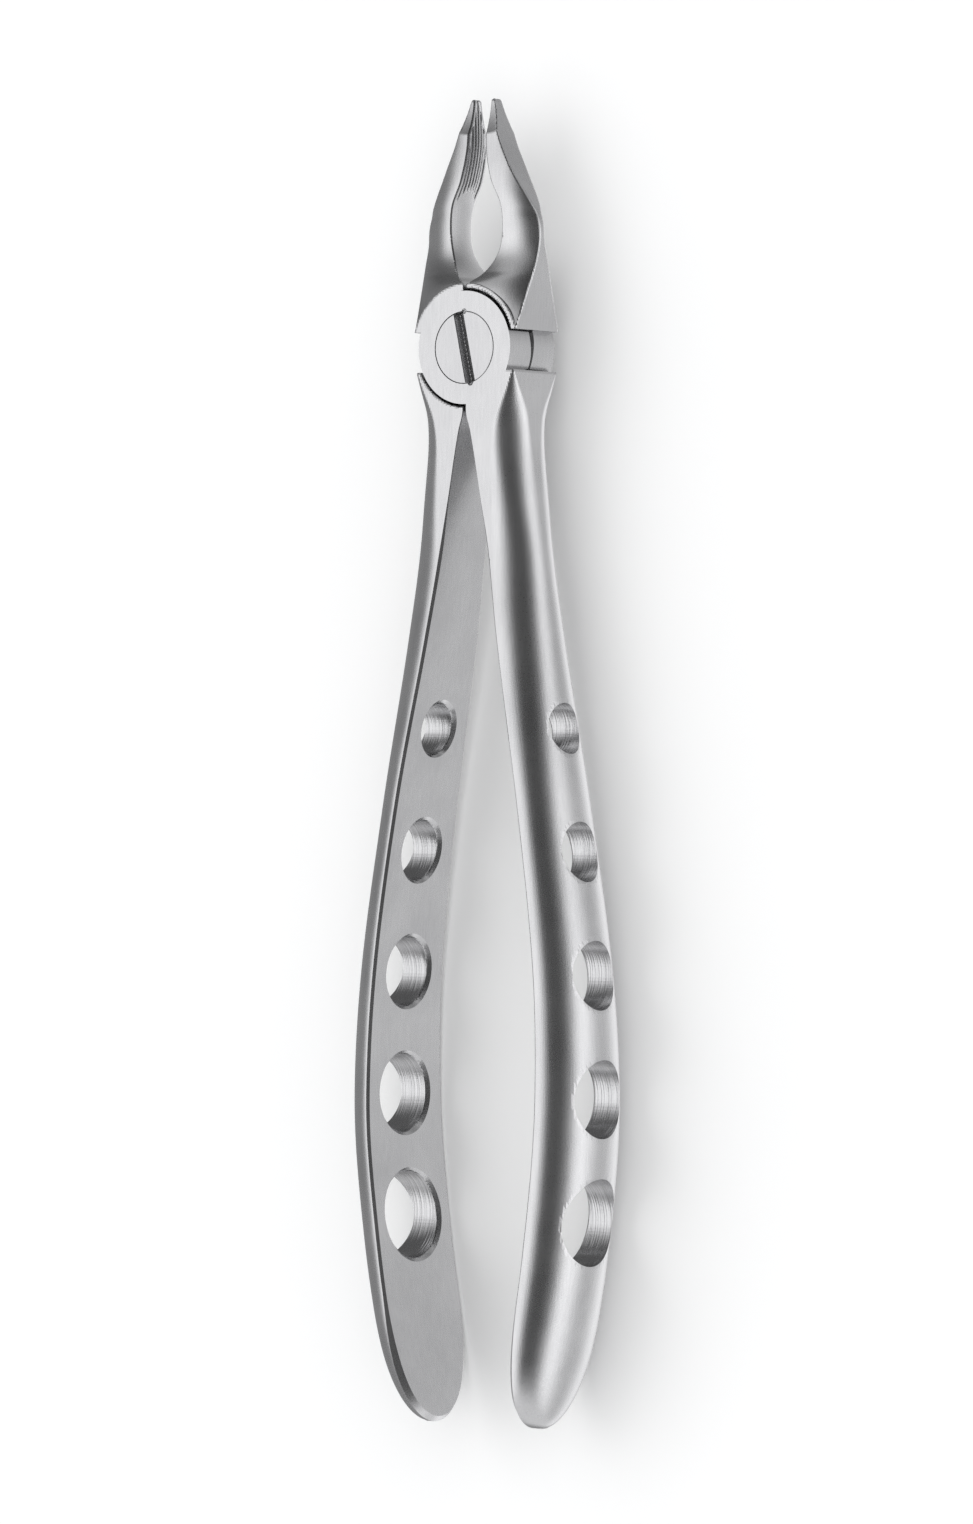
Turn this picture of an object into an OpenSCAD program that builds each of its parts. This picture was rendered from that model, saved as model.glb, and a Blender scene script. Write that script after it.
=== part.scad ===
// Dental extraction forceps with a screwed lap joint: two crossed levers and one pivot screw.
// The long axis is Z with the jaws up, X runs across the jaws and Y is the pivot axis.
// The origin is where the pivot axis leaves the flat back face of the joint.
// The screw head faces -Y. Everything is in millimetres.

/* [Joint] */
// Thickness of the closed joint, two half-thickness discs together
joint_t = 10; // [9.6:0.1:10.4]
// Radius of each lever's half-thickness disc
disc_r = 7.45; // [7.3:0.05:7.5]
// Radius of the round recess that clears the other lever's disc
recess_r = 7.8; // [7.75:0.05:7.9]
// Radius of the flat boss that carries the jaw roots and the shoulders
boss_r = 8.5; // [8.4:0.05:8.6]
// Gap between the two sliding faces in the middle of the joint
lap_gap = 0.06; // [0.04:0.01:0.1]
// Half of the gap between the jaw roots above the joint, and between the handle roots below it
root_gap = 0.2; // [0.2:0.01:0.25]

/* [Jaws] */
// Height of the jaw tips above the pivot
jaw_top = 33; // [32:0.5:34]
// Height of the jaw shoulder above the pivot
jaw_shoulder = 2.2; // [2.1:0.1:2.5]

/* [Handles] */
// Depth of the handle ends below the pivot
handle_end = 142; // [138:1:146]
// Depth of the handle shoulder below the pivot
handle_shoulder = 3; // [2.9:0.1:3.3]
// Distance from the pivot to the middle of the first grip hole
first_hole = 50.1; // [49:0.1:52]
// Distance between grip holes
hole_pitch = 16.15; // [15.8:0.05:16.4]
// Diameter of the first, smallest grip hole
first_hole_d = 6.7; // [6:0.1:7]
// Growth in diameter from one grip hole to the next
hole_growth = 1.2; // [1:0.05:1.25]
// Number of grip holes in each handle
hole_count = 5; // [3:1:5]

/* [Screw] */
// Diameter of the screw head, flush with the front of the joint
head_d = 9.5; // [9:0.1:9.8]
// Thickness of the screw head
head_t = 2.2; // [1.8:0.1:2.4]
// Diameter of the plain shank that the front lever turns on
shank_d = 6; // [5.5:0.1:6.4]
// Diameter of the end screwed through the back lever
thread_d = 5; // [4.5:0.1:5.4]
// Running clearance between the shank and the front lever, on the radius
shank_clearance = 0.04; // [0.02:0.01:0.08]
// Clearance round and under the screw head
head_clearance = 0.05; // [0.04:0.01:0.08]
// Width of the driver slot
slot_w = 1.45; // [1.2:0.05:1.6]
// Depth of the driver slot
slot_depth = 1.3; // [1:0.1:1.4]
// Lean of the driver slot from the long axis
slot_lean = 12; // [0:1:45]

/* [Hidden] */
steel = [0.78, 0.79, 0.8];
half_t = joint_t / 2;
lap_y = lap_gap / 2;
cut = 0.5;

// Smooth curve through chosen stations [distance, value], slopes taken from the neighbours.
function station(s, d, i = 0) = (i >= len(s) - 2 || d <= s[i + 1][0]) ? i : station(s, d, i + 1);
function chord(s, i) = (s[i + 1][1] - s[i][1]) / (s[i + 1][0] - s[i][0]);
function slope(s, i) = i == 0 ? chord(s, 0) : i == len(s) - 1 ? chord(s, i - 1)
    : chord(s, i - 1) * chord(s, i) <= 0 ? 0 : (chord(s, i - 1) + chord(s, i)) / 2;
function hermite(a, b, ma, mb, t) =
    a * (2 * t ^ 3 - 3 * t ^ 2 + 1) + ma * (t ^ 3 - 2 * t ^ 2 + t)
    + b * (3 * t ^ 2 - 2 * t ^ 3) + mb * (t ^ 3 - t ^ 2);
function curve(s, d) =
    let (i = station(s, d), w = s[i + 1][0] - s[i][0], t = min(1, max(0, (d - s[i][0]) / w)))
    hermite(s[i][1], s[i + 1][1], w * slope(s, i), w * slope(s, i + 1), t);

// Handle, measured down from the pivot: inner flat face, edge of the front flat, outer crown,
// half depth, and half depth of the outer side face.
handle_inner = [[3, 0.2], [8.2, 0.2], [11, 0.9], [18.7, 2.35], [38, 5.5], [61, 9.8], [83, 12.8],
    [98, 13.4], [118, 11.6], [142, 7.4]];
handle_flat = [[3, 7.7], [5, 6.9], [9.4, 5], [14, 4.4], [25, 4.4], [38, 5.8], [61, 10.1],
    [83, 13.1], [98, 13.7], [118, 11.9], [142, 7.7]];
handle_crown = [[3, 7.9], [12, 8], [18.7, 8.67], [34, 10.65], [61, 14.95], [83, 18.2],
    [98, 19], [118, 17.3], [132, 14.6], [142, 11.9]];
handle_half = [[3, 5], [24, 5], [38, 5.8], [55, 6.75], [83, 7.65], [107, 8.3], [125, 8.3]];
handle_side = [[3, 4.9], [5.3, 3.5], [8.5, 1.65], [11.8, 1], [18.7, 0.2], [30, 0]];
end_round = 17;

// Jaw, measured up from the pivot: inner face, outer face, half depth along the inner edge,
// half depth of the outer face and the fullness of the surface between the two.
jaw_inner = [[2, 0.2], [8.3, 0.2], [9.5, 1.6], [12.2, 3.25], [16, 3.93], [19, 3.6], [22.2, 2.16],
    [28, 1.2], [33, 1.3]];
jaw_outer = [[2, 8.2], [7, 8.7], [12, 9.1], [14.7, 9.1], [17.3, 8.7], [23.4, 5.4], [27, 3.7],
    [31.5, 2.3], [33, 1.9]];
jaw_edge = [[2, 5], [8.3, 4.8], [10, 3.5], [12.2, 2.5], [16, 2.3], [22, 2.45], [28, 2.15],
    [30, 1.45], [31.5, 1.2], [33, 0.9]];
jaw_side = [[2, 5], [7, 2.95], [11.6, 1.25], [14.7, 0.55], [17.3, 0.55], [18.8, 1], [23.4, 1.9],
    [28, 2], [30, 1.35], [31.5, 0.95], [33, 0.5]];
jaw_full = [[2, 0], [7, 0.8], [12, 0.5], [16, 0.6], [24, 0.2], [33, 0]];

// Share of the full size that is left as the end of the handle is rounded off.
function end_share(d) =
    let (past = max(0, d - (handle_end - end_round)) / end_round)
    sqrt(max(0.02, 1 - past ^ 2.9));

// Section of the handle: flat inner face, flat sides, elliptic corners and a narrow outer face.
corner_steps = 7;
function handle_section(d) =
    let (inner = curve(handle_inner, d), flat = curve(handle_flat, d), share = end_share(d),
        crown = flat + (curve(handle_crown, d) - flat) * share ^ 0.4,
        h = curve(handle_half, d) * share, side = min(curve(handle_side, d), h * 0.98) + 0.02,
        corner = [for (k = [0:corner_steps]) let (a = 90 * k / corner_steps)
            [flat + (crown - flat) * sin(a), side + (h - side) * cos(a)]])
    concat([[inner, h]], corner, [for (k = [corner_steps:-1:0]) [corner[k][0], -corner[k][1]]],
        [[inner, -h]]);

// Section of the jaw: flat inner face and two full, bowed surfaces down to the narrow outer face.
bow_steps = 7;
function jaw_section(d) =
    let (inner = curve(jaw_inner, d), outer = curve(jaw_outer, d), edge = curve(jaw_edge, d),
        side = curve(jaw_side, d), full = curve(jaw_full, d),
        bow = [for (k = [0:bow_steps]) let (t = k / bow_steps)
            [inner + (outer - inner) * t, edge + (side - edge) * t + 4 * full * t * (1 - t)]])
    concat(bow, [for (k = [bow_steps:-1:0]) [bow[k][0], -bow[k][1]]]);

// Closed skin over equal-sized sections, each [list of points, height].
module skin(sections) {
    n = len(sections[0][0]);
    m = len(sections);
    points = [for (s = sections) for (p = s[0]) [p[0], p[1], s[1]]];
    sides = [for (i = [0:m - 2]) for (j = [0:n - 1])
        let (a = i * n + j, b = i * n + (j + 1) % n) each [[a, b, b + n], [a, b + n, a + n]]];
    bottom = [for (j = [n - 1:-1:0]) j];
    top = [for (j = [0:n - 1]) (m - 1) * n + j];
    polyhedron(points, concat([bottom], sides, [top]));
}

// Right-hand jaw, from the shoulder to the tip.
module jaw() {
    steps = 30;
    heights = [for (k = [0:steps]) jaw_shoulder + (jaw_top - jaw_shoulder) * k / steps];
    mirror([0, 1, 0])
        skin([for (h = heights) [jaw_section(h), h]]);
}

// Right-hand handle, from the shoulder to the end, listed from the end up.
module handle() {
    steps = 56;
    reach = handle_end - handle_shoulder;
    depths = [for (k = [0:steps]) handle_end - reach * (1 - cos(180 * k / steps)) / 2];
    mirror([0, 1, 0])
        skin([for (d = depths) [handle_section(d), -d]]);
}

// The five grip holes, drilled across the handle and growing towards its end.
module grip_holes() {
    for (i = [0:hole_count - 1])
        translate([0, 0, -first_hole - i * hole_pitch])
            rotate([0, 90, 0])
                cylinder(h = 30, d = first_hole_d + i * hole_growth, $fn = 64);
}

// Round solid along the pivot axis between two depths.
module round_bar(r, from, to) {
    translate([0, to, 0])
        rotate([90, 0, 0])
            cylinder(h = to - from, r = r, $fn = 96);
}

// Flat boss at the root of the right-hand jaw.
module jaw_root() {
    intersection() {
        round_bar(boss_r, -half_t, half_t);
        translate([root_gap, -half_t - cut, jaw_shoulder])
            cube([boss_r, joint_t + 2 * cut, boss_r]);
    }
}

// One lever about the middle of the joint: half-thickness disc towards -Y, jaw to the left,
// handle to the right.
module lever_blank() {
    difference() {
        union() {
            round_bar(disc_r, -half_t, 0.5);
            intersection() {
                mirror([1, 0, 0])
                    jaw();
                translate([-20, -half_t, 0])
                    cube([20, joint_t, jaw_top + 1]);
            }
            mirror([1, 0, 0])
                jaw_root();
            difference() {
                handle();
                grip_holes();
            }
        }
        round_bar(recess_r, -lap_y, half_t + cut);
    }
}

// Lays a piece, drawn upright about the middle of the joint, on the joint's back face.
module lay_down() {
    rotate([-90, 0, 0])
        translate([0, -half_t, 0])
            children();
}

// Lever with the screw head in front: left jaw and right handle. It turns on the screw's shank.
module front_lever() {
    color(steel)
        lay_down()
            difference() {
                lever_blank();
                round_bar(shank_d / 2 + shank_clearance, -half_t - cut, cut);
                round_bar(head_d / 2 + head_clearance, -half_t - cut, -half_t + head_t + head_clearance);
            }
}

// Lever behind: right jaw and left handle. It holds the screwed end of the pivot screw.
module back_lever() {
    color(steel)
        lay_down()
            difference() {
                rotate([0, 0, 180])
                    lever_blank();
                round_bar(thread_d / 2, -cut, half_t + cut);
            }
}

// Slotted pivot screw: flush head, plain shank, and an end ground flush with the back face.
module pivot_screw() {
    color(steel)
        lay_down()
            difference() {
                union() {
                    round_bar(head_d / 2, -half_t, -half_t + head_t);
                    round_bar(shank_d / 2, -half_t + head_t - 0.1, lap_y);
                    round_bar(thread_d / 2, 0, half_t);
                }
                translate([0, -half_t, 0])
                    rotate([0, -slot_lean, 0])
                        cube([slot_w, 2 * slot_depth, head_d + 2], center = true);
            }
}

front_lever();
back_lever();
pivot_screw();
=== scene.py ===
import math

import bpy
import numpy as np
from mathutils import Matrix, Vector


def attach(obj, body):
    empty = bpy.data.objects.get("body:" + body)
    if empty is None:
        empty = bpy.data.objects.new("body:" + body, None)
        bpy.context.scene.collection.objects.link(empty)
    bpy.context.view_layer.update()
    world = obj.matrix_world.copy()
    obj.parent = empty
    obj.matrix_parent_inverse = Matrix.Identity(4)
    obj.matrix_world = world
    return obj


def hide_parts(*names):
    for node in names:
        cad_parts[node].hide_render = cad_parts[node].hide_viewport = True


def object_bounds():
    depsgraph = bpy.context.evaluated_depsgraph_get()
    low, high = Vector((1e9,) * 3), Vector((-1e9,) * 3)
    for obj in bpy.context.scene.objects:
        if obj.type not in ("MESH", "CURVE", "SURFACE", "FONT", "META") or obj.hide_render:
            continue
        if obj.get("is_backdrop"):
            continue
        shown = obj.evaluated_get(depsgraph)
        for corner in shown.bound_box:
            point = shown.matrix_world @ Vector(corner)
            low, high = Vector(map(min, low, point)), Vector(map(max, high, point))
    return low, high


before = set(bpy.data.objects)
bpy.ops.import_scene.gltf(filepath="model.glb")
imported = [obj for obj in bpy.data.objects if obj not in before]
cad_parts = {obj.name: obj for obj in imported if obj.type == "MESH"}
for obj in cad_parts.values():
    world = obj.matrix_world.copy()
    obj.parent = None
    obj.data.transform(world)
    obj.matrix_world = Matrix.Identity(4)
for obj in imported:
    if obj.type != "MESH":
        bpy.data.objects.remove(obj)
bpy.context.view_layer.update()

# ---------------------------------------------------------------- sizes, in millimetres
# A lever is drawn upright about the middle of the joint: x across, y in depth (screw head at -5), z up.
HALF = 5.0
DISC_R, RECESS_R, BOSS_R = 7.45, 7.8, 8.5
TOP, JAW_FOOT = 33.0, 2.2
END, END_ROUND, SHOULDER = 142.0, 17.0, 3.0
HOLES = [(50.1 + 16.15 * k, (6.7 + 1.2 * k) / 2) for k in range(5)]
TIP_BEVEL, TIP_HALF, PAD_START, RIDGE_PITCH = 28.3, 2.12, 20.6, 0.6028
# Depth inside the head where the shank starts, and how far out the grip holes begin
SHANK_START, HOLES_FROM = 1.9, 5.0
HEAD_R, HEAD_T, SHANK_R, THREAD_R = 4.75, 2.2, 3.0, 2.5
SLOT_W, SLOT_DEPTH, SLOT_LEAN = 1.45, 1.3, math.radians(12)
SLOT_ACROSS = (math.cos(SLOT_LEAN), math.sin(SLOT_LEAN))
STAKES = [(0.0, 4.78, 0.42), (4.7 * math.sin(SLOT_LEAN), -4.7 * math.cos(SLOT_LEAN), 0.5)]


def track(stations):
    """A smooth curve through (distance, value) stations, as a function of distance."""
    s = np.array(stations, float)
    at, value = s[:, 0], s[:, 1]
    chord = np.diff(value) / np.diff(at)
    slope = np.empty(len(at))
    slope[0], slope[-1] = chord[0], chord[-1]
    slope[1:-1] = np.where(chord[:-1] * chord[1:] > 0, (chord[:-1] + chord[1:]) / 2, 0)
    t = np.arange(at[0], at[-1] + 0.005, 0.01)
    i = np.clip(np.searchsorted(at, t, side="right") - 1, 0, len(at) - 2)
    w = at[i + 1] - at[i]
    q = np.clip((t - at[i]) / w, 0, 1)
    table = (
        value[i] * (2 * q**3 - 3 * q**2 + 1) + slope[i] * w * (q**3 - 2 * q**2 + q)
        + value[i + 1] * (3 * q**2 - 2 * q**3) + slope[i + 1] * w * (q**3 - q**2)
    )
    return lambda d: np.interp(d, t, table)


handle_inner = track([[3, 0.2], [8.2, 0.2], [11, 0.9], [18.7, 2.35], [38, 5.5], [61, 9.8], [83, 12.8],
                      [98, 13.4], [118, 11.6], [142, 7.4]])
handle_flat = track([[3, 7.7], [5, 6.9], [9.4, 5], [14, 4.4], [25, 4.4], [38, 5.8], [61, 10.1], [83, 13.1],
                     [98, 13.7], [118, 11.9], [142, 7.7]])
handle_crown = track([[3, 7.9], [12, 8], [18.7, 8.67], [34, 10.65], [61, 14.95], [83, 18.2], [98, 19],
                      [118, 17.3], [132, 14.6], [142, 11.9]])
handle_half = track([[3, 5], [24, 5], [38, 5.8], [55, 6.75], [83, 7.65], [107, 8.3], [125, 8.3]])
handle_side = track([[3, 4.9], [5.3, 3.5], [8.5, 1.65], [11.8, 1], [18.7, 0.2], [30, 0]])
jaw_inner = track([[2, 0.2], [8.3, 0.2], [9.5, 1.6], [12.2, 3.25], [16, 3.93], [19, 3.6], [22.2, 2.16],
                   [28, 1.2], [33, 1.3]])
jaw_outer = track([[2, 8.2], [7, 8.7], [12, 9.1], [14.7, 9.1], [17.3, 8.7], [23.4, 5.4], [27, 3.7],
                   [31.5, 2.3], [33, 1.9]])
jaw_edge = track([[2, 5], [8.3, 4.8], [10, 3.5], [12.2, 2.5], [16, 2.3], [22, 2.45], [28, 2.15], [33, 1.9]])
jaw_side = track([[2, 5], [7, 2.95], [11.6, 1.25], [14.7, 0.55], [17.3, 0.55], [18.8, 1], [23.4, 1.9],
                  [28, 2], [33, 1.75]])


# ---------------------------------------------------------------- solids as distance fields (negative inside)
def ramp(t):
    t = np.clip(t, 0, 1)
    return t * t * (3 - 2 * t)


def both(a, b, r):
    """Intersection of two solids, with its edge rounded to radius r."""
    u, v = np.maximum(a + r, 0), np.maximum(b + r, 0)
    return np.minimum(np.maximum(a, b), -r) + np.sqrt(u * u + v * v)


def bevelled(a, b, leg):
    """Intersection of two solids, with its edge cut off at 45 degrees."""
    return np.maximum(np.maximum(a, b), (a + b + leg) * math.sqrt(0.5))


def round_y(x, z, r):
    return np.sqrt(x * x + z * z) - r


def handle(x, y, z):
    d, depth = -z, np.abs(y)
    inner, flat = handle_inner(d), handle_flat(d)
    past = np.clip((d - (END - END_ROUND)) / END_ROUND, 0, 1.15)
    share = np.sqrt(np.maximum(0.02, 1 - past**2.9))
    full = handle_half(d)
    half = full * share
    crown = flat + (handle_crown(d) - flat) * share**0.4
    side = np.minimum(handle_side(d), half * 0.98) + 0.02
    a, b = np.maximum(crown - flat, 0.05), np.maximum(half - side, 0.05)
    px, py = np.maximum(x - flat, 0) / a, np.maximum(depth - side, 0) / b
    power = 1.55 + 0.45 * ramp((d - 8) / 14)
    k0 = np.sqrt(px * px + py * py)
    k1 = np.maximum(np.sqrt((px / a) ** 2 + (py / b) ** 2), 1e-9)
    near = (px**power + py**power) ** (1 / power) - 1
    skin = np.where(k0 > 1e-9, k0 * near / k1, -np.minimum(a, b))
    grow = np.sqrt((2 * depth / full**2) ** 2 + (2.9 * past**1.9 / END_ROUND) ** 2)
    rim = ((depth / full) ** 2 + past**2.9 - 1) / np.maximum(grow, 0.03)
    outer = both(np.maximum(skin, rim), z + SHOULDER, 0.4)
    face = inner - x
    leg = 0.08 + 0.26 * ramp((d - 18) / 10) + 0.42 * ramp((d - 124) / 12)
    solid = np.maximum(outer, face)
    solid = np.maximum(solid, (face + rim + leg) * math.sqrt(0.5))
    for at, r in HOLES:
        hole = r - np.sqrt(y * y + (d - at) ** 2)
        solid = np.maximum(solid, hole)
        solid = np.maximum(solid, (hole + face + 0.5) * math.sqrt(0.5))
    return solid


def jaw(x, y, z):
    inner, outer = jaw_inner(z), jaw_outer(z)
    edge, side = jaw_edge(z), jaw_side(z)
    width = outer - inner
    t = np.clip((x - inner) / width, 0, 1)
    half = edge + (side - edge) * t**2.6
    slant = (side - edge) * 2.6 * t**1.6 / width
    depth = np.abs(y)
    face = (depth - half) / np.sqrt(1 + slant * slant)
    # Hollow ground bevel that brings the tip to a point
    s = (z - TIP_BEVEL) / (TOP - TIP_BEVEL)
    fall = np.where(s > 0, 1.3 * s + 0.95 * s * (1 - s), 2.25 * s)
    face = both(face, (depth - (TIP_HALF - fall)) * 0.92, 0.06)
    # Ridged pad in a shallow flute
    wide = np.minimum(edge, TIP_HALF - fall) - 0.42
    pad = ramp((wide - depth) / 0.22) * ramp((z - PAD_START + 0.35 * depth * depth) / 1.4)
    groove = np.abs(((y / RIDGE_PITCH) % 1) * 2 - 1)
    crown = 0.22 * (depth / half) ** 2
    grip = inner + crown - x + pad * (0.06 + 0.24 * (1 - np.sqrt(1 - 0.98 * groove * groove)))
    body = both(x - outer, face, 0.22)
    body = bevelled(body, grip, 0.16)
    body = both(body, z - TOP, 0.4)
    return np.maximum(body, depth - HALF)


def lever_blank(x, y, z):
    """A lever with its jaw on the left, its handle on the right and its disc in front."""
    depth = np.abs(y)
    disc = np.maximum(np.maximum(round_y(x, z, DISC_R), -HALF - y), y - 0.5)
    root = both(both(round_y(x, z, BOSS_R), x + 0.2, 0.4), depth - HALF, 0.2)
    root = np.maximum(root, JAW_FOOT - z)
    upper = np.maximum(jaw(-x, y, z), JAW_FOOT - z)
    solid = np.minimum(np.minimum(upper, root), np.minimum(handle(x, y, z), disc))
    recess = np.maximum(round_y(x, z, RECESS_R), -0.03 - y)
    solid = np.maximum(solid, -recess)
    # The disc's inner corner is broken, which shows as the seam on the joint's side
    seam = (round_y(x, z, DISC_R) + y + 0.22 + 0.24 * ramp((z + 2) / 4)) * math.sqrt(0.5)
    elsewhere = 9 * np.maximum(round_y(x, z, RECESS_R - 0.02), 0) + 30 * np.maximum(y, 0)
    solid = np.maximum(solid, seam - elsewhere)
    # The recess's rim is broken too
    rim = (-round_y(x, z, RECESS_R) + (depth - HALF) + 0.14) * math.sqrt(0.5)
    return np.maximum(solid, rim - 9 * np.maximum(-y, 0))


def stakes(x, y, z):
    marks = 1e3
    for sx, sz, r in STAKES:
        marks = np.minimum(marks, np.sqrt((x - sx) ** 2 + (y + HALF + 0.2) ** 2 + (z - sz) ** 2) - r)
    return marks


def front_lever(x, y, z):
    solid = np.maximum(lever_blank(x, y, z), -round_y(x, z, SHANK_R + 0.04))
    sunk = np.maximum(round_y(x, z, HEAD_R + 0.05), y + HALF - HEAD_T - 0.05)
    solid = np.maximum(solid, -sunk)
    return np.maximum(solid, -stakes(x, y, z))


def back_lever(x, y, z):
    return np.maximum(lever_blank(x, y, z), -round_y(x, z, THREAD_R + 0.02))


def pivot_screw(x, y, z):
    head = bevelled(round_y(x, z, HEAD_R), -HALF - y, 0.1)
    head = np.maximum(head, y + HALF - HEAD_T)
    shank = np.maximum(round_y(x, z, SHANK_R), np.maximum(y - 0.03, -HALF + SHANK_START - y))
    tail = np.maximum(bevelled(round_y(x, z, THREAD_R), y - HALF, 0.08), -HALF + SHANK_START - y)
    solid = np.minimum(np.minimum(head, shank), tail)
    across = np.abs(x * SLOT_ACROSS[0] + z * SLOT_ACROSS[1]) - SLOT_W / 2
    slot = both(across, y + HALF - SLOT_DEPTH, 0.15)
    solid = np.maximum(solid, -slot)
    solid = np.maximum(solid, (-across - HALF - y + 0.08) * math.sqrt(0.5))
    return np.maximum(solid, -stakes(x, y, z))


# ---------------------------------------------------------------- surface of a field as a mesh
# Share of the largest spread below which the faces round a vertex count as one plane
FLAT_RANK = 0.06
# Least slope of a field, squared, that a step is worked out from
STEEP = 0.05
# How far from a vertex its planes are looked for, and how near a bore's wall counts as on it
EDGE_NEAR, WALL_NEAR = 0.055, 0.04


def gradient(field, p, e=2e-3):
    g = np.empty_like(p)
    for k in range(3):
        a, b = p.copy(), p.copy()
        a[:, k] += e
        b[:, k] -= e
        g[:, k] = field(a[:, 0], a[:, 1], a[:, 2]) - field(b[:, 0], b[:, 1], b[:, 2])
    return g / (2 * e)


def unit(v):
    return v / np.maximum(np.linalg.norm(v, axis=1, keepdims=True), 1e-12)


def surface(field, gu, gv, gw, shear, swell, blocks, rounds=2):
    """Dual contouring on a warped grid: x = u + shear(w), y = v * swell(w), z = w.
    Keeps sharp edges, and gives each face corner the exact normal of its side of the edge."""
    def place(u, v, w):
        return np.stack([u + shear(w), v * swell(w), w], axis=-1)

    value = np.ones((len(gu), len(gv), len(gw)))
    for u0, u1, w0, w1 in blocks:
        iu = np.where((gu >= u0) & (gu <= u1))[0]
        iw = np.where((gw >= w0) & (gw < w1))[0]
        u, v, w = gu[iu][:, None, None], gv[None, :, None], gw[iw][None, None, :]
        value[iu[0]:iu[-1] + 1, :, iw[0]:iw[-1] + 1] = field(u + shear(w), v * swell(w), w)
    inside = value < 0
    grids = (gu, gv, gw)
    cells = (len(gu) - 1, len(gv) - 1, len(gw) - 1)
    points, quads = [], []
    for axis in range(3):
        lo = [slice(None)] * 3
        hi = [slice(None)] * 3
        lo[axis], hi[axis] = slice(0, -1), slice(1, None)
        i, j, k = np.nonzero(inside[tuple(lo)] != inside[tuple(hi)])
        start = inside[tuple(lo)][i, j, k]
        ijk = np.stack([i, j, k], axis=1)
        far = ijk.copy()
        far[:, axis] += 1
        a = np.stack([grids[m][ijk[:, m]] for m in range(3)], axis=1)
        b = np.stack([grids[m][far[:, m]] for m in range(3)], axis=1)
        low, high = np.zeros(len(a)), np.ones(len(a))
        for _ in range(11):
            mid = (low + high) / 2
            q = a + (b - a) * mid[:, None]
            p = place(q[:, 0], q[:, 1], q[:, 2])
            same = (field(p[:, 0], p[:, 1], p[:, 2]) < 0) == start
            low, high = np.where(same, mid, low), np.where(same, high, mid)
        q = a + (b - a) * ((low + high) / 2)[:, None]
        p = place(q[:, 0], q[:, 1], q[:, 2])
        m, n = (axis + 1) % 3, (axis + 2) % 3
        ring = []
        for dm, dn in ((0, 0), (-1, 0), (-1, -1), (0, -1)):
            c = ijk.copy()
            c[:, m] += dm
            c[:, n] += dn
            ring.append((c[:, 0] * cells[1] + c[:, 1]) * cells[2] + c[:, 2])
        ring = np.stack(ring, axis=1)
        points.append((p, ring))
        quads.append(np.where(start[:, None], ring[:, ::-1], ring))
    p = np.concatenate([x[0] for x in points])
    ring = np.concatenate([x[1] for x in points])
    quads = np.concatenate(quads)
    normal = unit(gradient(field, p))
    used, cell = np.unique(ring, return_inverse=True)
    cell = cell.reshape(ring.shape)
    count = len(used)
    flat = cell.ravel()

    def total(w):
        return np.bincount(flat, weights=np.repeat(w, 4), minlength=count)

    number = total(np.ones(len(p)))
    mean = np.stack([total(p[:, m]) for m in range(3)], axis=1) / number[:, None]
    d = np.sum(normal * p, axis=1)
    ata = np.empty((count, 3, 3))
    atb = np.empty((count, 3))
    for m in range(3):
        atb[:, m] = total(normal[:, m] * d)
        for n in range(m, 3):
            ata[:, m, n] = ata[:, n, m] = total(normal[:, m] * normal[:, n])
    atb -= np.einsum("cij,cj->ci", ata, mean)
    size, axes = np.linalg.eigh(ata)
    keep = size > FLAT_RANK * size[:, 2:]
    inverse = np.where(keep, 1 / np.maximum(size, 1e-9), 0)
    move = np.einsum("cij,cj,ckj,ck->ci", axes, inverse, axes, atb)
    vertex = mean + move
    sharp = keep[:, 1]
    # Each vertex stays in its own cell
    ci = np.stack(np.unravel_index(used, cells), axis=1)
    w = np.clip(vertex[:, 2], gw[ci[:, 2]], gw[ci[:, 2] + 1])
    u = np.clip(vertex[:, 0] - shear(w), gu[ci[:, 0]], gu[ci[:, 0] + 1])
    v = np.clip(vertex[:, 1] / swell(w), gv[ci[:, 1]], gv[ci[:, 1] + 1])
    vertex = place(u, v, w)
    for _ in range(2):
        g = gradient(field, vertex)
        f = field(vertex[:, 0], vertex[:, 1], vertex[:, 2])
        step = -g * (f / np.maximum(np.sum(g * g, axis=1), STEEP))[:, None]
        long = np.linalg.norm(step, axis=1, keepdims=True)
        step *= np.minimum(1, 0.08 / np.maximum(long, 1e-9))
        vertex = np.where(sharp[:, None], vertex, vertex + step)
    # Vertices on an edge are drawn onto it, from the planes found just round them
    near = np.array([[i, j, k] for i in (-1, 1) for j in (-1, 1) for k in (-1, 1)]) * EDGE_NEAR
    for _ in range(rounds):
        start = vertex[sharp]
        at = (start[:, None, :] + near).reshape(-1, 3)
        for _ in range(3):
            g = gradient(field, at)
            f = field(at[:, 0], at[:, 1], at[:, 2])
            fall = f / np.maximum(np.sum(g * g, axis=1), STEEP)
            at = at - g * np.clip(fall, -0.1, 0.1)[:, None]
        g = unit(gradient(field, at)).reshape(-1, 8, 3)
        off = np.einsum("cij,cij->ci", g, at.reshape(-1, 8, 3) - start[:, None, :])
        size, axes = np.linalg.eigh(np.einsum("cij,cik->cjk", g, g))
        inverse = np.where(size > FLAT_RANK * size[:, 2:], 1 / np.maximum(size, 1e-9), 0)
        step = np.einsum("cij,cj,ckj,ck->ci", axes, inverse, axes, np.einsum("cij,ci->cj", g, off))
        long = np.linalg.norm(step, axis=1, keepdims=True)
        vertex[sharp] = start + step * np.minimum(1, 0.07 / np.maximum(long, 1e-9))
    order = np.searchsorted(used, quads)
    corner = vertex[order]
    centre = corner.mean(axis=1, keepdims=True)
    at = np.where(sharp[order][..., None], corner + 0.3 * (centre - corner), corner).reshape(-1, 3)
    loops = unit(gradient(field, at))
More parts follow.
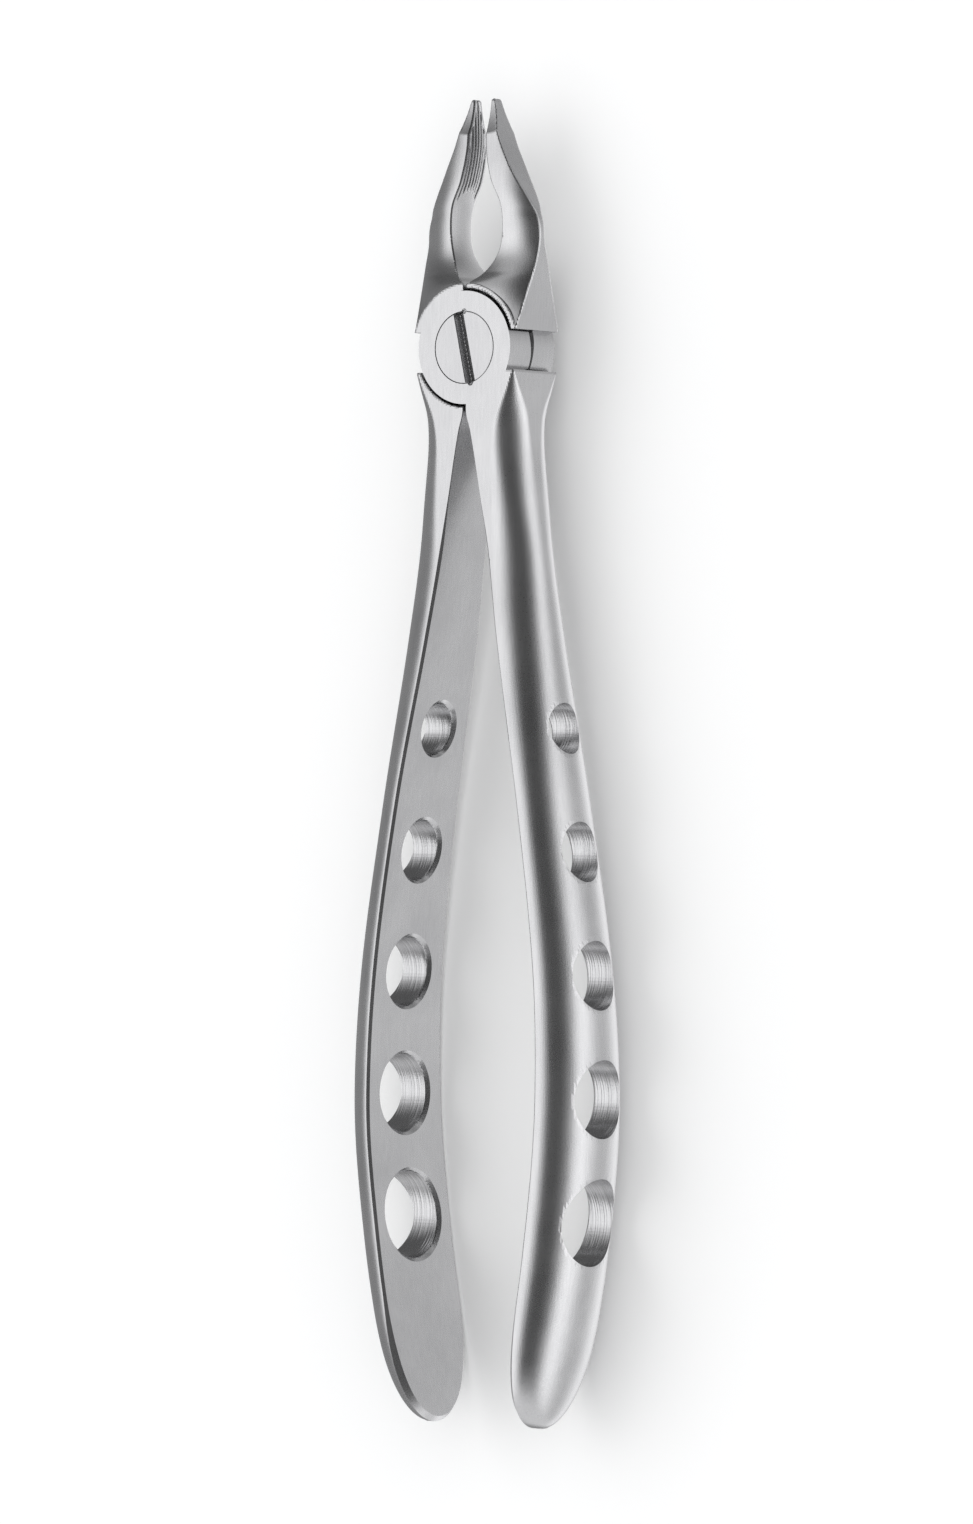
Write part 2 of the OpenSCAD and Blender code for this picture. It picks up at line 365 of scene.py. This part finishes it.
    # A corner normal that disagrees with its face gives way to it
    diagonal = np.cross(corner[:, 2] - corner[:, 0], corner[:, 3] - corner[:, 1])
    face = np.repeat(unit(diagonal), 4, axis=0)
    agree = np.sum(loops * face, axis=1)
    loops = np.where((agree < 0.3)[:, None], face, loops)
    return vertex, order, loops


def to_mesh(name, made, turned=False):
    """Puts a lever's or the screw's surface where the CAD has it, lying on the joint's back face."""
    vertex, faces, normals = made
    if turned:
        vertex, normals = vertex * [-1, -1, 1], normals * [-1, -1, 1]
    lying = np.stack([vertex[:, 0], vertex[:, 2], HALF - vertex[:, 1]], axis=1) / 1000
    normals = np.stack([normals[:, 0], normals[:, 2], -normals[:, 1]], axis=1)
    mesh = bpy.data.meshes.new(name)
    mesh.from_pydata(lying.tolist(), [], faces.tolist())
    mesh.polygons.foreach_set("use_smooth", np.ones(len(faces), bool))
    mesh.normals_split_custom_set(normals.tolist())
    # Marks the walls of the grip holes, which are drilled, not blasted
    x, y, z = vertex.T * (np.array([[-1], [-1], [1]]) if turned else 1)
    bore = np.zeros(len(x))
    for at, r in HOLES:
        bore = np.maximum(bore, np.abs(np.sqrt(y * y + (z + at) ** 2) - r) < WALL_NEAR)
    turned_wall = mesh.attributes.new("turned_wall", "FLOAT", "POINT")
    turned_wall.data.foreach_set("value", bore * (np.abs(x) > HOLES_FROM) * 1.0)
    piece = bpy.data.objects.new(name, mesh)
    bpy.context.collection.objects.link(piece)
    return piece


def lever_grid():
    w = [TOP + 0.5]
    while w[-1] > -END - 0.6:
        z = w[-1]
        w.append(z - 0.208 - 0.25 * float(ramp((-z - 9) / 14)))
    w = np.array(w[::-1])
    u = np.arange(-9.43, 9.6, 0.215)
    v = np.arange(-5.62, 5.8, 0.197)
    blocks = [(-0.5, 9.5, -200, -9.6), (-9.5, 9.5, -9.6, 9.6), (-9.5, 0.3, 9.6, 200)]
    shear = lambda z: np.maximum(handle_inner(-z) - 0.2, 0) * (z < 0)
    swell = lambda z: 1 + 0.56 * ramp((-z - 10) / 90) - 0.49 * ramp((z - 9.5) / 10)
    return u, v, w, shear, swell, blocks


def screw_grid():
    g = np.arange(-4.93, 5, 0.117)
    parts = (np.arange(-5.27, -2.6, 0.107), np.arange(-2.5, 4.7, 0.42), np.arange(4.75, 5.3, 0.11))
    y = np.concatenate(parts)
    return g, y, g.copy(), lambda z: z * 0, lambda z: z * 0 + 1, [(-9, 9, -9, 9)]


grid = lever_grid()
front = to_mesh("front_lever_steel", surface(front_lever, *grid))
back = to_mesh("back_lever_steel", surface(back_lever, *grid), turned=True)
screw = to_mesh("pivot_screw_steel", surface(pivot_screw, *screw_grid(), rounds=0))
for piece, node, body, slot in (
    (front, "front_lever", "front_half", "satin_steel"),
    (back, "back_lever", "back_half", "satin_steel"),
    (screw, "pivot_screw", "back_half", "screw_steel"),
):
    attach(piece, body)
    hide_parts(node)


# ---------------------------------------------------------------- materials
class Nodes:
    """Short calls for building a node tree."""

    def __init__(self, tree):
        self.tree = tree
        tree.nodes.clear()

    def add(self, kind, **values):
        node = self.tree.nodes.new(kind)
        for key, value in values.items():
            setattr(node, key, value)
        return node

    def link(self, a, b):
        self.tree.links.new(a, b)

    def put(self, socket, value):
        if isinstance(value, bpy.types.NodeSocket):
            self.link(value, socket)
        else:
            socket.default_value = value

    def math(self, operation, *values):
        node = self.add("ShaderNodeMath", operation=operation)
        for socket, value in zip(node.inputs, values):
            self.put(socket, value)
        return node.outputs[0]

    def noise(self, vector, scale, detail=3.0, rough=0.5):
        node = self.add("ShaderNodeTexNoise")
        self.put(node.inputs["Vector"], vector)
        node.inputs["Scale"].default_value = scale
        node.inputs["Detail"].default_value = detail
        node.inputs["Roughness"].default_value = rough
        return node.outputs[0]

    def stretch(self, vector, scale):
        node = self.add("ShaderNodeMapping")
        self.put(node.inputs["Vector"], vector)
        node.inputs["Scale"].default_value = scale
        return node.outputs[0]

    def spread(self, value, low, high, to_low, to_high):
        node = self.add("ShaderNodeMapRange")
        self.put(node.inputs["Value"], value)
        limits = {"From Min": low, "From Max": high, "To Min": to_low, "To Max": to_high}
        for key, number in limits.items():
            node.inputs[key].default_value = number
        return node.outputs[0]

    def mix(self, factor, a, b):
        node = self.add("ShaderNodeMix", data_type="RGBA")
        self.put(node.inputs[0], factor)
        self.put(node.inputs[6], a)
        self.put(node.inputs[7], b)
        return node.outputs[2]

    def bump(self, height, distance, strength, below=None):
        node = self.add("ShaderNodeBump")
        self.put(node.inputs["Height"], height)
        node.inputs["Distance"].default_value = distance
        node.inputs["Strength"].default_value = strength
        if below is not None:
            self.link(below, node.inputs["Normal"])
        return node.outputs[0]


def steel(name, tone, rough, grain):
    """Satin surgical steel: fine blasted grain, faint finishing lines along the length, soft smudges."""
    material = bpy.data.materials.new(name)
    material.use_nodes = True
    nodes = Nodes(material.node_tree)
    spot = nodes.add("ShaderNodeTexCoord").outputs["Object"]
    fine = nodes.noise(spot, 5200, 2.0, 0.6)
    lines = nodes.noise(nodes.stretch(spot, (3200, 260, 3200)), 1.0, 3.0, 0.55)
    cloud = nodes.noise(spot, 95, 4.0, 0.55)
    broad = nodes.noise(spot, 26, 3.0, 0.5)
    darker = (tone[0] * 0.9, tone[1] * 0.9, tone[2] * 0.905, 1)
    lighter = (tone[0] * 1.05, tone[1] * 1.05, tone[2] * 1.05, 1)
    blend = nodes.math("ADD", nodes.math("MULTIPLY", cloud, 0.6), nodes.math("MULTIPLY", lines, 0.4))
    colour = nodes.mix(nodes.spread(blend, 0.35, 0.65, 0.0, 1.0), darker, lighter)
    wear = nodes.math("ADD", nodes.math("MULTIPLY", broad, 0.5), nodes.math("MULTIPLY", cloud, 0.5))
    worn = nodes.spread(wear, 0.35, 0.65, rough - 0.035, rough + 0.035)
    roughness = nodes.math("ADD", worn, nodes.spread(fine, 0.3, 0.7, -0.02, 0.02))
    normal = nodes.bump(fine, 0.00002, grain)
    normal = nodes.bump(lines, 0.000012, grain, normal)
    normal = nodes.bump(cloud, 0.00006, 0.25, normal)
    # Turning marks round the grip holes: rings that change only across the instrument
    rings = nodes.noise(nodes.stretch(spot, (2600, 1, 1)), 1.0, 2.0, 0.7)
    wall = nodes.add("ShaderNodeAttribute", attribute_name="turned_wall").outputs["Fac"]
    normal = nodes.bump(nodes.math("MULTIPLY", rings, wall), 0.00009, 0.8, normal)
    roughness = nodes.math("SUBTRACT", roughness, nodes.math("MULTIPLY", wall, 0.05))
    shader = nodes.add("ShaderNodeBsdfPrincipled")
    shader.inputs["Metallic"].default_value = 1.0
    nodes.link(colour, shader.inputs["Base Color"])
    nodes.link(roughness, shader.inputs["Roughness"])
    nodes.link(normal, shader.inputs["Normal"])
    end = nodes.add("ShaderNodeOutputMaterial")
    nodes.link(shader.outputs[0], end.inputs[0])
    return material


satin = steel("satin_steel_look", (0.60, 0.60, 0.605), 0.27, 0.35)
turned_steel = steel("screw_steel_look", (0.57, 0.57, 0.575), 0.25, 0.3)
front.data.materials.append(satin)
back.data.materials.append(satin)
screw.data.materials.append(turned_steel)

# ---------------------------------------------------------------- floor
def pale_floor_look():
    """Matt, nearly white card with a faint mottle."""
    material = bpy.data.materials.new("pale_floor")
    material.use_nodes = True
    nodes = Nodes(material.node_tree)
    spot = nodes.add("ShaderNodeTexCoord").outputs["Object"]
    shade = nodes.mix(nodes.noise(spot, 9, 3.0), (0.86, 0.865, 0.87, 1), (0.9, 0.9, 0.9, 1))
    shader = nodes.add("ShaderNodeBsdfPrincipled")
    nodes.link(shade, shader.inputs["Base Color"])
    nodes.link(nodes.spread(nodes.noise(spot, 60), 0.3, 0.7, 0.75, 0.9), shader.inputs["Roughness"])
    nodes.link(nodes.bump(nodes.noise(spot, 1500), 0.00004, 0.2), shader.inputs["Normal"])
    shader.inputs["Specular IOR Level"].default_value = 0.1
    end = nodes.add("ShaderNodeOutputMaterial")
    nodes.link(shader.outputs[0], end.inputs[0])
    return material


low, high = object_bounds()
middle = (low + high) / 2
bpy.ops.mesh.primitive_plane_add(size=16, location=(0, 0, low.z - 0.0001))
floor = bpy.context.object
floor.name = "floor"
floor.data.materials.append(pale_floor_look())
floor.visible_glossy = False
floor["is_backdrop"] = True

# ---------------------------------------------------------------- studio light
# What stands round the instrument, as (from, to, level), in degrees round its long axis from
# straight up towards +X. Between one and the next the light changes softly. The places and levels
# are fitted: they give the steel the photograph's bands of light and dark, and prove nothing else.
STUDIO = [
    (-180, -180, 1.35),  # pale card underneath
    (-144, -58, 0.3),    # dim wall on the left
    (-38, -14, 1.4),     # large soft box above
    (28, 62, 0.07),      # dark room behind the camera
    (74, 76, 0.2),       # wall beside the strip box
    (103, 108, 1.6),     # strip box on the right
    (138, 146, 0.7),     # wall low on the right
    (180, 180, 1.35),    # the pale card again
]
# Strength along the instrument and beyond its jaws. The ramp's colours are levels for the first.
ALONG, BEYOND = 2.0, 0.8
END_CARD = (0.45, 0.45, 0.455, 1)
WHITE = (1.0, 1.0, 1.0, 1)
SOFT_LEVEL, BACKDROP_LEVEL = 1.06, 0.97


def studio_ramp(nodes, turned):
    """Colour ramp of the studio, from a share of a full turn."""
    node = nodes.add("ShaderNodeValToRGB")
    node.color_ramp.interpolation = "EASE"
    stops = node.color_ramp.elements
    while len(stops) > 1:
        stops.remove(stops[-1])
    angles = []
    for start, end, level in STUDIO:
        angles += [(degrees, level / ALONG) for degrees in sorted({start, end})]
    for number, (degrees, level) in enumerate(angles):
        at = degrees / 360 + 0.5
        stop = stops[0] if number == 0 else stops.new(at)
        stop.position = at
        stop.color = (level, level, level * 1.01, 1)
    nodes.link(turned, node.inputs[0])
    return node.outputs[0]


def background(nodes, colour, strength):
    node = nodes.add("ShaderNodeBackground")
    nodes.put(node.inputs[0], colour)
    nodes.put(node.inputs[1], strength)
    return node.outputs[0]


def choose(nodes, factor, off, on):
    node = nodes.add("ShaderNodeMixShader")
    for socket, value in zip(node.inputs, (factor, off, on)):
        nodes.link(value, socket)
    return node.outputs[0]


def studio_world():
    world = bpy.data.worlds.new("studio")
    world.use_nodes = True
    nodes = Nodes(world.node_tree)
    way = nodes.add("ShaderNodeSeparateXYZ")
    nodes.link(nodes.add("ShaderNodeTexCoord").outputs["Generated"], way.inputs[0])
    angle = nodes.math("ARCTAN2", way.outputs[0], way.outputs[2])
    turned = nodes.math("ADD", nodes.math("DIVIDE", angle, 2 * math.pi), 0.5)
    # A pale card stands beyond the handles' ends
    card = nodes.spread(way.outputs[1], -0.65, -0.9, 0.0, 1.0)
    colour = nodes.mix(card, studio_ramp(nodes, turned), END_CARD)
    # The boxes end a little beyond the jaws, and the room there is darker
    mirrored = background(nodes, colour, nodes.spread(way.outputs[1], 0.1, 0.6, ALONG, BEYOND))
    path = nodes.add("ShaderNodeLightPath").outputs
    light = choose(nodes, path["Is Glossy Ray"], background(nodes, WHITE, SOFT_LEVEL), mirrored)
    backdrop = background(nodes, WHITE, BACKDROP_LEVEL)
    end = nodes.add("ShaderNodeOutputWorld")
    nodes.link(choose(nodes, path["Is Camera Ray"], light, backdrop), end.inputs[0])
    return world


def soft_box(name, offset, size, power):
    """A square lamp that lights the scene without showing in the steel."""
    lamp_data = bpy.data.lights.new(name, "AREA")
    lamp_data.shape = "SQUARE"
    lamp_data.size = size
    lamp_data.energy = power
    lamp = bpy.data.objects.new(name, lamp_data)
    lamp.location = middle + Vector(offset)
    lamp.rotation_euler = (middle - lamp.location).to_track_quat("-Z", "Y").to_euler()
    lamp.visible_glossy = False
    bpy.context.collection.objects.link(lamp)


bpy.context.scene.world = studio_world()
soft_box("key_box", (-0.7, 0.3, 1.0), 0.9, 1.7)
soft_box("fill_box", (0.6, -0.4, 1.1), 1.1, 1.2)

# ---------------------------------------------------------------- camera
CAMERA_TURN, LENS, SENSOR, MARGIN = math.radians(36), 160, 36, 1.15
LONG_AXIS = Vector((0, 1, 0))
eye = Vector((math.sin(CAMERA_TURN), 0, math.cos(CAMERA_TURN)))
camera_data = bpy.data.cameras.new("camera")
camera_data.lens = LENS
camera = bpy.data.objects.new("camera", camera_data)
bpy.context.collection.objects.link(camera)
facing = Matrix((LONG_AXIS.cross(eye), LONG_AXIS, eye)).transposed()
frame_height = (high.y - low.y) * MARGIN
away = eye * (frame_height * LENS / SENSOR)
camera.matrix_world = Matrix.Translation(middle + away) @ facing.to_4x4()
bpy.context.scene.camera = camera
bpy.context.scene.view_settings.view_transform = "Standard"

low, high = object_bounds()
